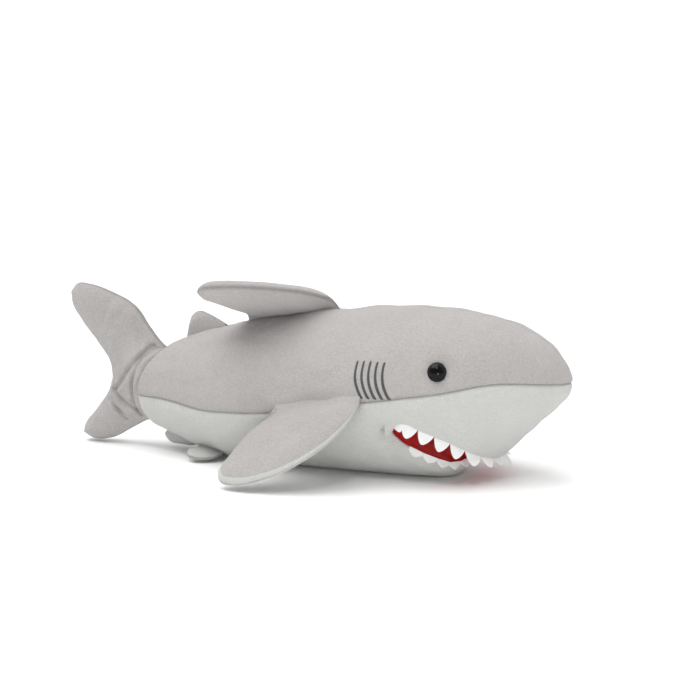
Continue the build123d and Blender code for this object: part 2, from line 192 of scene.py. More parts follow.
def near(points, path):
    """Distance from each point to the closest one of a path."""
    flat = points.reshape(-1, points.shape[-1])
    best = np.empty(len(flat))
    for start in range(0, len(flat), POINTS_AT_A_TIME):
        part = flat[start:start + POINTS_AT_A_TIME]
        best[start:start + POINTS_AT_A_TIME] = np.sqrt(((part[:, None] - path) ** 2).sum(-1).min(1))
    return best.reshape(points.shape[:-1])


sections = np.array(BODY_SECTIONS, float)
section_run = np.r_[0, np.cumsum(np.hypot(np.diff(sections[:, 0]), np.diff(sections[:, 1])))]
RUN_END = section_run[-1]
along_x = smooth_curve(section_run, sections[:, 0], flat_end=True)
half_width = smooth_curve(section_run, sections[:, 1])
underside = smooth_curve(section_run, sections[:, 2])
backline = smooth_curve(section_run, sections[:, 3])
side_seam = smooth_curve(*zip(*SIDE_SEAM))
upper_lip = smooth_curve(*zip(*UPPER_LIP))
lower_lip = smooth_curve(*zip(*LOWER_LIP))
run_table = np.linspace(0, RUN_END, 4000)
x_table = along_x(run_table)
eye_y = np.interp(EYE_X, x_table, half_width(run_table)) * -EYE_OUT

big_swell = waves(3, 58)
small_swell = waves(4, 21)
ripple_shift = waves(5, 26)
pile_swell = waves(6, 2.6, 14)


def run_at(x):
    """How far along the body's line a place on X is."""
    return np.interp(x, x_table, run_table)


def angle_at(run, z):
    """Angle from the top of the section to a height."""
    middle = (underside(run) + backline(run)) / 2
    half_height = (backline(run) - underside(run)) / 2
    return np.arccos(np.clip((z - middle) / half_height, -1, 1))


def chin_limit(x):
    """Half-width of the chin in plan."""
    ahead = np.clip((x - MOUTH_CORNER_X) / CHIN_LENGTH, 0, 1)
    behind = np.clip((MOUTH_CORNER_X - x) / BEHIND_CHIN, 0, 8)
    return CHIN_HALF_WIDTH * np.sqrt(1 - ahead ** 2) + BEHIND_CHIN_WIDENING * behind ** 2


def plain_body(run, angle, side, chin=False):
    """Body before any relief. Low down it narrows to the chin, whose front curls up off the floor."""
    x = along_x(run)
    middle = (underside(run) + backline(run)) / 2
    half_height = (backline(run) - underside(run)) / 2
    z = middle + half_height * np.cos(angle)
    y = half_width(run) * np.sin(angle)
    if chin:
        limit = np.maximum(chin_limit(x), 0.05)
        narrow = (np.maximum(y, 0.01) ** -CHIN_SQUARE + limit ** -CHIN_SQUARE) ** (-1 / CHIN_SQUARE)
        y = y + (narrow - y) * ease((CHIN_TOP - z) / CHIN_FADE)
        lift = CHIN_LIFT * np.clip((x - CHIN_LIFT_START_X) / CHIN_LIFT_RUN, 0, 1) ** 2.4
        z = np.maximum(z, 0) + lift * np.exp(-np.maximum(z, 0) / CHIN_FADE)
    z = (z + np.sqrt(z * z + FLOOR_SOFTNESS)) / 2
    return np.stack(np.broadcast_arrays(x, -side * y, z), axis=-1)


def outward(run, angle, side, chin=False):
    """Direction straight out of the body."""
    run = np.clip(run, 1, RUN_END - 0.6)
    angle = np.clip(angle, 0.01, pi - 0.01)
    ahead = plain_body(run + 0.5, angle, side, chin) - plain_body(run - 0.5, angle, side, chin)
    down = plain_body(run, angle + 0.01, side, chin) - plain_body(run, angle - 0.01, side, chin)
    return unit(np.cross(down, ahead)) * side


def relief(points, side):
    """How far the skin stands out of the plain body: stuffing swells, seams pull in."""
    x, y, z = points[..., 0], points[..., 1], points[..., 2]
    out = BIG_SWELL_HEIGHT * big_swell(points) + SMALL_SWELL_HEIGHT * small_swell(points)
    above_seam = z - side_seam(x)
    off_seam = np.abs(above_seam)
    out = out - dent(off_seam, *SEAM_GROOVE) - SEAM_DIP_DEPTH * np.exp(-off_seam / SEAM_DIP_WIDTH)
    pucker = np.sin(x * tau / PUCKER_PITCH + 2.2 * ripple_shift(points))
    out = out + PUCKER_HEIGHT * np.exp(-off_seam / 6) * pucker * ease(off_seam / 2)
    out = out - dent(y, *BACK_SEAM_GROOVE) * ease(above_seam / 20)
    from_eye = np.linalg.norm(points - np.array((EYE_X, eye_y * side, EYE_Z)), axis=-1)
    out = out - dent(from_eye - 4, *EYE_DIMPLE)
    from_corner = np.hypot(x - MOUTH_CORNER_X, z - MOUTH_CORNER_Z)
    out = out - dent(from_corner, *CORNER_DIMPLE) * (np.abs(y) > 30)
    on_floor = ease((z - 0.6) / 5)
    return out * on_floor + PILE_HEIGHT * pile_swell(points)


def skin(run, angle, side, chin=False):
    """A point of the sewn skin and the direction out of it there."""
    plain = plain_body(run, angle, side, chin)
    normal = outward(run, angle, side, chin)
    points = plain + normal * relief(plain, side)[..., None]
    points[..., 2] = np.maximum(points[..., 2], 0.15)
    return points, normal


def skin_at(x, z, side):
    """The same, at a place seen from the side."""
    run = run_at(x)
    return skin(run, angle_at(run, z), side)


# ---- Meshes ------------------------------------------------------------------------------------
def grid_mesh(name, rows, centre, seam=None):
    """Smooth mesh over a grid of points, facing away from its centre. seam holds painted shade for its
    seams, 1 where darkest.
    """
    rows = np.asarray(rows, float)
    high, wide = rows.shape[:2]
    number = np.arange(high * wide).reshape(high, wide)
    a, b, c, d = number[:-1, :-1], number[:-1, 1:], number[1:, 1:], number[1:, :-1]
    faces = np.stack((a, b, c, d), axis=-1).reshape(-1, 4)
    flat = rows.reshape(-1, 3)
    corner = flat[faces]
    facing = np.cross(corner[:, 2] - corner[:, 0], corner[:, 3] - corner[:, 1])
    if (facing * (corner.mean(1) - np.asarray(centre, float))).sum() < 0:
        faces = faces[:, ::-1]
    mesh = bpy.data.meshes.new(name)
    mesh.vertices.add(len(flat))
    mesh.vertices.foreach_set("co", (flat * MM).ravel())
    mesh.loops.add(faces.size)
    mesh.loops.foreach_set("vertex_index", faces.ravel())
    mesh.polygons.add(len(faces))
    mesh.polygons.foreach_set("loop_start", np.arange(0, faces.size, 4))
    mesh.polygons.foreach_set("loop_total", np.full(len(faces), 4))
    mesh.update(calc_edges=True)
    mesh.shade_smooth()
    if seam is not None:
        # The seam attribute carries painted shade, which the plush looks read to darken the pile.
        mark = mesh.attributes.new("seam", "FLOAT", "POINT")
        mark.data.foreach_set("value", np.asarray(seam, np.float32).ravel())
    piece = bpy.data.objects.new(name, mesh)
    bpy.context.scene.collection.objects.link(piece)
    return piece


def seam_shade_mark(points):
    """Painted shade where the body's side seams and the seam along its back run."""
    x, y, z = points[..., 0], points[..., 1], points[..., 2]
    above = z - side_seam(x)
    return bell(above, 0.7) + 0.5 * bell(y, 0.8) * (above > 25)


def joined(name, grids, centres, seams=None):
    """Several grids as one mesh, each facing away from its own centre, with the painted seam shade given
    in seams.
    """
    seams = seams or [None] * len(grids)
    pieces = [
        grid_mesh(f"{name}_{number}", grid, centre, seam)
        for number, (grid, centre, seam) in enumerate(zip(grids, centres, seams))
    ]
    with bpy.context.temp_override(active_object=pieces[0], selected_editable_objects=pieces):
        bpy.ops.object.join()
    pieces[0].name = name
    return pieces[0]


# ---- Materials ---------------------------------------------------------------------------------
# Sockets of the mix node that carry colours. It has others of the same name for numbers and vectors.
MIX_COLOUR_A = 6
MIX_COLOUR_B = 7
MIX_COLOUR_OUT = 2


class Surface:
    """A material built up from noise, with short calls for its nodes."""

    def __init__(self, name, **values):
        self.material = bpy.data.materials.new(name)
        self.material.use_nodes = True
        self.nodes = self.material.node_tree.nodes
        self.links = self.material.node_tree.links
        self.shader = self.nodes["Principled BSDF"]
        for socket, value in values.items():
            self.shader.inputs[socket.replace("_", " ")].default_value = value
        self.place = self.nodes.new("ShaderNodeTexCoord").outputs["Object"]

    def stretched(self, scale):
        """Places on the piece, stretched so that grains become streaks."""
        mapping = self.nodes.new("ShaderNodeMapping")
        mapping.inputs["Scale"].default_value = scale
        self.links.new(self.place, mapping.inputs["Vector"])
        return mapping.outputs["Vector"]

    def noise(self, size, detail=2.0, scale=(1, 1, 1), rough=0.6):
        """Noise with grains of about that size in metres."""
        noise = self.nodes.new("ShaderNodeTexNoise")
        noise.inputs["Scale"].default_value = 1 / size
        noise.inputs["Detail"].default_value = detail
        noise.inputs["Roughness"].default_value = rough
        self.links.new(self.stretched(scale), noise.inputs["Vector"])
        return noise.outputs["Fac"]

    def marked(self, name):
        """A value stored at the points of the mesh."""
        mark = self.nodes.new("ShaderNodeAttribute")
        mark.attribute_name = name
        return mark.outputs["Fac"]

    def ramp(self, value, stops):
        """Colours along a value: pairs of a position and a colour."""
        ramp = self.nodes.new("ShaderNodeValToRGB")
        elements = ramp.color_ramp.elements
        while len(elements) < len(stops):
            elements.new(0.5)
        for element, (position, colour) in zip(elements, stops):
            element.position = position
            element.color = (*colour, 1)
        self.links.new(value, ramp.inputs["Fac"])
        return ramp.outputs["Color"]

    def multiply(self, one, other):
        """Two colours multiplied."""
        mix = self.nodes.new("ShaderNodeMix")
        mix.data_type = "RGBA"
        mix.blend_type = "MULTIPLY"
        mix.inputs["Factor"].default_value = 1.0
        self.links.new(one, mix.inputs[MIX_COLOUR_A])
        self.links.new(other, mix.inputs[MIX_COLOUR_B])
        return mix.outputs[MIX_COLOUR_OUT]

    def colour(self, value):
        """Takes a colour as the base colour."""
        self.links.new(value, self.shader.inputs["Base Color"])

    def bumps(self, *layers):
        """Bumps over bumps: pairs of a height and a depth in metres."""
        below = None
        for height, depth in layers:
            bump = self.nodes.new("ShaderNodeBump")
            bump.inputs["Strength"].default_value = 1.0
            bump.inputs["Distance"].default_value = depth
            self.links.new(height, bump.inputs["Height"])
            if below:
                self.links.new(below, bump.inputs["Normal"])
            below = bump.outputs["Normal"]
        self.links.new(below, self.shader.inputs["Normal"])


def shade(colour, factor):
    """A darker or lighter colour."""
    return tuple(c * factor for c in colour)


def even(level):
    """The same amount of red, green and blue."""
    return (level,) * 3


def plush(name, colour, contrast, lie):
    """Short pile: fine streaks that follow the lie of the hair, over soft patches, with painted shade
    along seams.
    """
    surface = Surface(
        name, Roughness=0.95, Specular_IOR_Level=0.12, Sheen_Weight=0.28, Sheen_Roughness=0.55,
    )
    hair = surface.noise(0.0013, 3, lie, 0.75)
    tufts = surface.noise(0.0042, 2, lie)
    patches = surface.noise(0.045, 1.5)
    dark = shade(colour, 1 - contrast)
    light = shade(colour, 1 + 0.6 * contrast)
    fine = surface.ramp(hair, ((0.38, dark), (0.62, light)))
    soft = surface.ramp(tufts, ((0.3, even(1 - 0.25 * contrast)), (0.7, even(1.0))))
    broad = surface.ramp(patches, ((0.3, even(0.96)), (0.7, even(1.0))))
    pile = surface.multiply(surface.multiply(fine, soft), broad)
    # Painted shade: the seam value darkens the pile to 0.62 of its colour in seam grooves, along fin rims
    # and hems, and in the tail's creases.
    sewn = surface.ramp(surface.marked("seam"), ((0.0, even(1.0)), (1.0, even(0.62))))
    surface.colour(surface.multiply(pile, sewn))
    surface.bumps((tufts, 0.0005), (hair, 0.0022))
    return surface.material


def felt(name, colour):
    """Matted fibres with faint clouds."""
    surface = Surface(
        name, Roughness=0.95, Specular_IOR_Level=0.1, Sheen_Weight=0.2, Sheen_Roughness=0.5,
    )
    fibre = surface.noise(0.0006, 3, rough=0.75)
    cloud = surface.noise(0.006, 2)
    fine = surface.ramp(fibre, ((0.3, shade(colour, 0.9)), (0.7, colour)))
    soft = surface.ramp(cloud, ((0.3, even(0.93)), (0.7, even(1.0))))
    surface.colour(surface.multiply(fine, soft))
    surface.bumps((cloud, 0.0004), (fibre, 0.0003))
    return surface.material


def lining(name, colour):
    """Smooth woven lining with a faint rib."""
    surface = Surface(
        name, Roughness=0.75, Specular_IOR_Level=0.25, Sheen_Weight=0.15, Sheen_Roughness=0.4,
    )
    thread = surface.noise(0.0007, 2, (1, 0.25, 1))
    cloud = surface.noise(0.012, 2)
    fine = surface.ramp(thread, ((0.3, shade(colour, 0.82)), (0.7, colour)))
    soft = surface.ramp(cloud, ((0.3, even(0.85)), (0.7, even(1.0))))
    surface.colour(surface.multiply(fine, soft))
    surface.bumps((cloud, 0.0008), (thread, 0.0002))
    return surface.material


def thread(name, colour):
    """Embroidery thread, dark between its strands."""
    surface = Surface(name, Roughness=0.6, Specular_IOR_Level=0.35, Sheen_Weight=0.2)
    strand = surface.noise(0.0005, 2, (1, 1, 3))
    surface.colour(surface.ramp(strand, ((0.3, shade(colour, 0.6)), (0.7, shade(colour, 1.25)))))
    surface.bumps((strand, 0.0003))
    return surface.material


def plastic(name, colour, roughness):
    """Moulded plastic with a barely visible grain."""
    surface = Surface(name, Roughness=roughness, Specular_IOR_Level=0.16)
    grain = surface.noise(0.002, 2)
    surface.colour(surface.ramp(grain, ((0.3, shade(colour, 0.85)), (0.7, shade(colour, 1.1)))))
    surface.bumps((grain, 0.00002))
    return surface.material


GREY = (0.53, 0.508, 0.498)
WHITE = (0.68, 0.686, 0.66)
LIE_OF_HAIR = (0.6, 1, 0.9)
grey_plush = plush("grey_plush_look", GREY, 0.11, LIE_OF_HAIR)
white_plush = plush("white_plush_look", WHITE, 0.05, LIE_OF_HAIR)
red_lining = lining("red_lining_look", (0.95, 0.014, 0.004))
white_felt = felt("white_felt_look", (0.9, 0.9, 0.89))
grey_thread = thread("grey_thread_look", (0.09, 0.088, 0.09))
black_plastic = plastic("black_plastic_look", (0.004, 0.004, 0.005), 0.07)
washer_plastic = plastic("washer_plastic_look", (0.75, 0.75, 0.72), 0.4)


def finish_piece(piece, material, nodes):
    """Gives a piece its material and hides the parts it stands for."""
    piece.data.materials.clear()
    piece.data.materials.append(material)
    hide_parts(*nodes)


# ---- Back --------------------------------------------------------------------------------------
TRUNK_ROWS = 560
BACK_COLUMNS = 150
TUCK = 7.0  # length of the rounded end of the trunk
TUCK_SQUEEZE = 0.36
TUCK_HEIGHT = 61.0
TRUNK_END_X = -175.0
TRUNK_END_SLANT_TOP = 25.0
TRUNK_END_SLANT_BOTTOM = 11.0


def trunk_end(angle):
    """X of the rear edge of the trunk, furthest back at mid-height."""
    up = (1 + np.cos(angle)) / 2
    down = (1 - np.cos(angle)) / 2
    return TRUNK_END_X + TRUNK_END_SLANT_TOP * up ** 4 + TRUNK_END_SLANT_BOTTOM * down ** 4


def tucked(points, angle):
    """Rolls the rear edge of the trunk in."""
    from_end = np.clip((points[..., 0] - trunk_end(angle)) / TUCK, 0, 1)
    squeeze = 1 - TUCK_SQUEEZE * (1 - np.sqrt(np.clip(1 - (1 - from_end) ** 2, 0, 1)))
    points[..., 1] *= squeeze
    points[..., 2] = TUCK_HEIGHT + (points[..., 2] - TUCK_HEIGHT) * squeeze
    return points


def trunk_runs(angle, last, rows):
    """Stations from the slanting rear edge to an end."""
    first = run_at(trunk_end(angle))
    return first + (last - first) * np.linspace(0, 1, rows)[:, None]


def back_skin(side):
    """One side of the back, from the seam along its middle down to the side seam."""
    share = np.linspace(0, 1, BACK_COLUMNS)[None, :]
    guess = pi / 2 * share
    run = trunk_runs(guess, RUN_END, TRUNK_ROWS)
    angle = share * angle_at(run, side_seam(along_x(run)))
    points, _ = skin(run, angle, side)
    return tucked(points, angle)


for side, word in ((RIGHT, "right"), (LEFT, "left")):
    points = back_skin(side)
    back = grid_mesh(f"back_skin_{word}", points, (0, 0, 70), seam_shade_mark(points))
    finish_piece(back, grey_plush, [f"back_panel_{word}"])
    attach(back, "body")

# ---- Snout -------------------------------------------------------------------------------------
SNOUT_ROWS = 380
SNOUT_COLUMNS = 120
LIP_ROLL = 1.3
LIP_TURNS = 8
LIP_INSIDE = 4.0


def rolled_edge(points, normal):
    """Columns that carry a sheet's last one round an open edge and back on the inside."""
    edge = points[:, -1]
    onward = unit(points[:, -1] - points[:, -4])
    inner = []
    for step in range(1, LIP_TURNS + 1):
        turn = pi * step / LIP_TURNS
        inner.append(edge + LIP_ROLL * (onward * sin(turn) - normal[:, -1] * (1 - cos(turn))))
    last = inner[-1] - onward * LIP_INSIDE
    return np.concatenate((points, np.stack(inner + [last], axis=1)), axis=1)


def snout_skin(side):
    """One side of the upper jaw, from the side seam down to the lip."""
    run = np.linspace(run_at(MOUTH_CORNER_X - 1), RUN_END, SNOUT_ROWS)[:, None]
    x = along_x(run)
    top = angle_at(run, side_seam(x))
    bottom = angle_at(run, upper_lip(x))
    share = np.linspace(0, 1, SNOUT_COLUMNS)[None, :]
    points, normal = skin(run, top + (bottom - top) * share, side)
    return rolled_edge(points, normal)


sides = [snout_skin(RIGHT), snout_skin(LEFT)]
snout = joined("snout_skin", sides, [(150, 0, 80)] * 2, [seam_shade_mark(points) for points in sides])
finish_piece(snout, white_plush, ["snout_panel", "body_filling"])
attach(snout, "body")

# ---- Belly and chin ----------------------------------------------------------------------------
BELLY_ROWS = 380
BELLY_COLUMNS = 110
CHIN_ROWS = 150
CHIN_COLUMNS = 130
CHIN_TURN = (-0.04, 1.55)  # angles round the chin's edge, seen from above


def belly_skin(side):
    """One side of the underside, up to the side seam, as far as the mouth's corner."""
    share = np.linspace(0, 1, BELLY_COLUMNS)[None, :]
    guess = pi / 2 * (1 + share)
    run = trunk_runs(guess, run_at(MOUTH_CORNER_X - 1), BELLY_ROWS)
    top = angle_at(run, side_seam(along_x(run)))
    angle = top + (pi - top) * share
    points, _ = skin(run, angle, side, chin=True)
    return tucked(points, angle)


def chin_skin(side):
    """One side of the chin, from under its middle up to the lower lip."""
    ahead = np.linspace(*CHIN_TURN, CHIN_ROWS)[:, None]
    x = MOUTH_CORNER_X + CHIN_LENGTH * np.sin(ahead)
    run = run_at(x)
    top = angle_at(run, lower_lip(x))
    share = np.linspace(0, 1, CHIN_COLUMNS)[None, :]
    points, normal = skin(run, top + (pi - top) * share, side, chin=True)
    return rolled_edge(points[:, ::-1], normal[:, ::-1])


sides = [belly_skin(RIGHT), belly_skin(LEFT)]
belly = joined("belly_skin", sides, [(0, 0, 70)] * 2, [seam_shade_mark(points) for points in sides])
finish_piece(belly, white_plush, ["belly_panel"])
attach(belly, "body")

chin = joined("chin_skin", [chin_skin(RIGHT), chin_skin(LEFT)], [(120, 0, 40)] * 2)
finish_piece(chin, white_plush, ["jaw_panel", "jaw_filling"])
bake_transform(chin)

# ---- Mouth lining ------------------------------------------------------------------------------
LINING_ROWS = 130
LINING_COLUMNS = 130
PALATE_X = (105.0, 196.2)
PALATE_RISE = 24.0
PALATE_SWELL = 0.5
LINING_INSET = 1.6
TONGUE_TURN = 1.5
TONGUE_DIP = 4.0
TONGUE_SWELL = 0.4
LINING_DROP = 1.2
# Ends of the palate's dome and the tongue's dip: place on X, and length over which it fades out.
PALATE_REAR = (105, 30)
PALATE_FRONT = (196, 26)
TONGUE_REAR = (106, 22)
TONGUE_FRONT = (168, 16)
lining_swell = waves(11, 17)


def lip_width(x, lip, chin):
    """Half-width of the skin at a lip."""
    run = run_at(x)
    points, _ = skin(run, angle_at(run, lip(x)), RIGHT, chin)
    return -points[..., 1]


def arched(x, height, rear, front):
    """Height along X that starts at the rear and ends at the front."""
    return height * ease((x - rear[0]) / rear[1]) * ease((front[0] - x) / front[1])


def palate():
    """Roof of the mouth, domed between the sides of the upper lip."""
    x = np.linspace(*PALATE_X, LINING_ROWS)[:, None]
    wide = np.maximum(lip_width(x, upper_lip, False) - LINING_INSET, 0.4)
    across = np.linspace(-1, 1, LINING_COLUMNS)[None, :]
    dome = arched(x, PALATE_RISE, PALATE_REAR, PALATE_FRONT)
    z = upper_lip(x) + LINING_INSET + dome * (1 - np.abs(across) ** 5)
    points = np.stack(np.broadcast_arrays(x, wide * across, z), axis=-1)
    points[..., 2] += PALATE_SWELL * lining_swell(points) * (1 - across ** 6)
    return points


def tongue():
    """Floor of the mouth, a little lower along its middle."""
    ahead = np.linspace(0, TONGUE_TURN, LINING_ROWS)[:, None]
    x = MOUTH_CORNER_X + CHIN_LENGTH * np.sin(ahead)
    wide = np.maximum(lip_width(x, lower_lip, True) - LINING_INSET, 0.3)
    across = np.linspace(-1, 1, LINING_COLUMNS)[None, :]
    dip = arched(x, TONGUE_DIP, TONGUE_REAR, TONGUE_FRONT)
    z = lower_lip(x) - LINING_DROP - dip * (1 - np.abs(across) ** 2.4)
    points = np.stack(np.broadcast_arrays(x, wide * across, z), axis=-1)
    points[..., 2] += TONGUE_SWELL * lining_swell(points) * (1 - across ** 6)
    return points


palate_skin = grid_mesh("palate_skin", palate(), (150, 0, 200))
finish_piece(palate_skin, red_lining, ["palate_lining"])
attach(palate_skin, "body")
tongue_skin = grid_mesh("tongue_skin", tongue(), (140, 0, -200))
finish_piece(tongue_skin, red_lining, ["tongue_lining"])
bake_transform(tongue_skin)

# ---- Teeth -------------------------------------------------------------------------------------
UPPER_TEETH_X = (113, 121, 136, 150, 163, 174, 184, 191.5, 195.5)
LOWER_TEETH_X = (124, 136, 147, 156, 163, 167)
# Where the teeth begin to lean forward, and over what length.
UPPER_FRONT_X = 160
UPPER_FRONT_RUN = 36
LOWER_FRONT_X = 140
LOWER_FRONT_RUN = 27
TOOTH_COLUMNS = 30
TOOTH_ROWS = 12
FELT = 1.4
SHORTEST_TOOTH_WIDTH = 9.5  # narrower teeth are as long as one this wide
TOOTH_ROOT = 2.0  # hidden behind the lip
NOTCH = 0.7  # length of the strip between two teeth
tooth_random = np.random.default_rng(21)


def teeth_strip(stations, aspect, fullness):
    """Felt strip along a lip: a rounded tooth between each pair of stations, with sharp notches."""
    grids = []
    for (start, lean_a), (end, lean_b) in zip(stations, stations[1:]):
        width = np.linalg.norm(end - start)
        length = aspect * max(width, SHORTEST_TOOTH_WIDTH)
        along = unit(end - start)
        across = np.linspace(0, 1, TOOTH_COLUMNS)[:, None]
        lean = unit(lean_a + (lean_b - lean_a) * across)
        lean = unit(lean - along * (lean @ along)[:, None])
        face = unit(np.cross(along, lean))
        reach = NOTCH + (length - NOTCH) * (1 - np.abs(2 * across - 1) ** fullness) ** 0.8
        down = np.linspace(0, 1, TOOTH_ROWS)
        rim = (1 - down ** 6) ** 0.5
        side_rim = (1 - np.abs(2 * across - 1) ** 14) ** 0.5
        curl = tooth_random.uniform(0.2, 1.1)
        sheets = []
        for face_side in (1, -1):
            half = FELT / 2 * rim[None, :] * side_rim
            depth = -TOOTH_ROOT + (reach + TOOTH_ROOT) * down[None, :]
            bow = curl * (down[None, :] ** 2)
            sheet = (
                (start + (end - start) * across)[:, None, :]
                + lean[:, None, :] * depth[..., None]
                + face[:, None, :] * (bow + face_side * half)[..., None]
            )
            sheets.append(sheet if face_side == 1 else sheet[:, ::-1])
        grids.append(np.concatenate(sheets, axis=1))
    return grids


def upper_stations(side):
    """Where a side's upper teeth meet, and which way they hang. The front ones lean out unevenly."""
    stations = []
    for x in UPPER_TEETH_X:
        point, _ = skin_at(x, upper_lip(x), side)
        front = max(0, (x - UPPER_FRONT_X) / UPPER_FRONT_RUN)
        swing = tooth_random.uniform(-0.25, 0.35, 2) * front
        place = point + np.array((-0.4, side * 1.6, 0.4))
        lean = np.array((front + swing[0], -(0.3 + swing[1]) * side, -1))
        stations.append((place, lean))
    return stations


def lower_stations(side):
    """Where a side's lower teeth meet, lying down over the chin."""
    stations = []
    for x in LOWER_TEETH_X:
        run = run_at(x)
        point, _ = skin(run, angle_at(run, lower_lip(x)), side, chin=True)
        front = max(0, (x - LOWER_FRONT_X) / LOWER_FRONT_RUN)
        place = point + np.array((0.7 * front, -side * 0.5, 0.3))
        lean = np.array((0.3 * front, -0.12 * side, -1))
        stations.append((place, lean))
    return stations


for name, stations, aspect, fullness, node, body in (
    ("upper_teeth", upper_stations, 0.76, 1.7, "upper_tooth_strip", "body"),
    ("lower_teeth", lower_stations, 0.36, 1.2, "lower_tooth_strip", "lower_jaw"),
):
    right = stations(RIGHT)
    left = stations(LEFT)
    grids = teeth_strip(right + left[::-1], aspect, fullness)
    teeth = joined(name, grids, [grid.mean((0, 1)) for grid in grids])
    finish_piece(teeth, white_felt, [node])
    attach(teeth, body)

# ---- Gill stitches -----------------------------------------------------------------------------
GILL_COUNT = 5
GILL_PITCH = 6.5
GILL_TOP = (77.0, 116.0)
GILL_BOTTOM = (84.5, 82.0)
GILL_BOW = 4.0
GILL_HALF_WIDTH = 1.0
GILL_WIDENING = 0.7
GILL_HEIGHT = 0.75
GILL_SUNK = 0.12
GILL_RAGGED = 0.22
STITCH = 0.75  # from one thread of the satin stitch to the next
STITCH_HEIGHT = 0.13


def gill(number, side):
    """One bowed line of satin stitch, wider towards its foot."""
    down = np.linspace(0, 1, 150)[:, None]
    across = np.linspace(-1, 1, 13)[None, :]
    x = GILL_TOP[0] + (GILL_BOTTOM[0] - GILL_TOP[0]) * down + number * GILL_PITCH
    x = x - GILL_BOW * 4 * down * (1 - down)
    z = GILL_TOP[1] + (GILL_BOTTOM[1] - GILL_TOP[1]) * down
    taper = np.minimum(ease(down / 0.05), ease((1 - down) / 0.03))
    half = (GILL_HALF_WIDTH + GILL_WIDENING * down) * (0.25 + 0.75 * taper)
    ragged = GILL_RAGGED * np.sin(z * tau / 1.3 + 5 * number) * np.abs(across)
    points, normal = skin_at(x + across * (half + ragged), z, side)
    rib = STITCH_HEIGHT * np.sin((z + 0.7 * across) * tau / STITCH)
    height = GILL_HEIGHT * np.sqrt(np.clip(1 - across ** 2, 0, 1)) * taper + rib - GILL_SUNK
    return points + normal * height[..., None]


for side, word in ((RIGHT, "right"), (LEFT, "left")):
    grids = [gill(number, side) for number in range(GILL_COUNT)]
    gills = joined(f"gill_thread_{word}", grids, [(90, 0, 90)] * GILL_COUNT)
    finish_piece(gills, grey_thread, [f"gill_stitches_{word}"])
    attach(gills, "body")

# ---- Eyes --------------------------------------------------------------------------------------
EYE_RADIUS = 8.4
EYE_HEIGHT = 6.4
EYE_PROUD = 1.0
EYE_STEPS = 97


def eye(side):
    """Glossy dome with a thin flange at its foot."""
    run = run_at(EYE_X)
    seat, _ = skin(run, angle_at(run, EYE_Z), side)
    normal = unit(np.array(EYE_NORMAL) * (1, side, 1))
    level = unit(np.cross(normal, (0, 0, 1)))
    upright = np.cross(level, normal)
    around = np.linspace(0, tau, EYE_STEPS)[:, None]
    rise = np.linspace(0, pi / 2, 40)
    radius = np.r_[EYE_RADIUS * np.sin(rise), EYE_RADIUS + 0.1, EYE_RADIUS + 0.55, EYE_RADIUS + 0.6]
    height = np.r_[EYE_HEIGHT * np.cos(rise), -0.35, -0.4, -3.0]
    return (
        seat + normal * EYE_PROUD
        + (np.cos(around) * radius)[..., None] * level
        + (np.sin(around) * radius)[..., None] * upright
        + np.broadcast_to(height, (EYE_STEPS, len(height)))[..., None] * normal
    )


for side, word in ((RIGHT, "right"), (LEFT, "left")):
    dome = grid_mesh(f"eye_dome_{word}", eye(side), (EYE_X, 0, EYE_Z))
    finish_piece(dome, black_plastic, [f"eye_{word}"])
    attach(dome, "body")
    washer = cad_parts[f"eye_washer_{word}"]
    washer.data.materials.clear()
    washer.data.materials.append(washer_plastic)

# ---- Fins --------------------------------------------------------------------------------------
FIN_EDGE_STEPS = 200
FIN_SPAN_STEPS = 70
FIN_SOFT = 0.62  # share of a fin's depth over which its thickness grows
FIN_LONGEST = 130.0
FIN_ROOT_FADE = 14.0
FIN_SWELL_HEIGHT = 0.55
FIN_PUCKER_HEIGHT = 0.3
OTHER_SWELL = 40  # how far apart the swells of the two sides are taken, so that they differ
HEM_COLUMNS = 5
HEM_PROUD = 0.35
fin_swell = waves(31, 26)
fin_ripple = waves(32, 18)


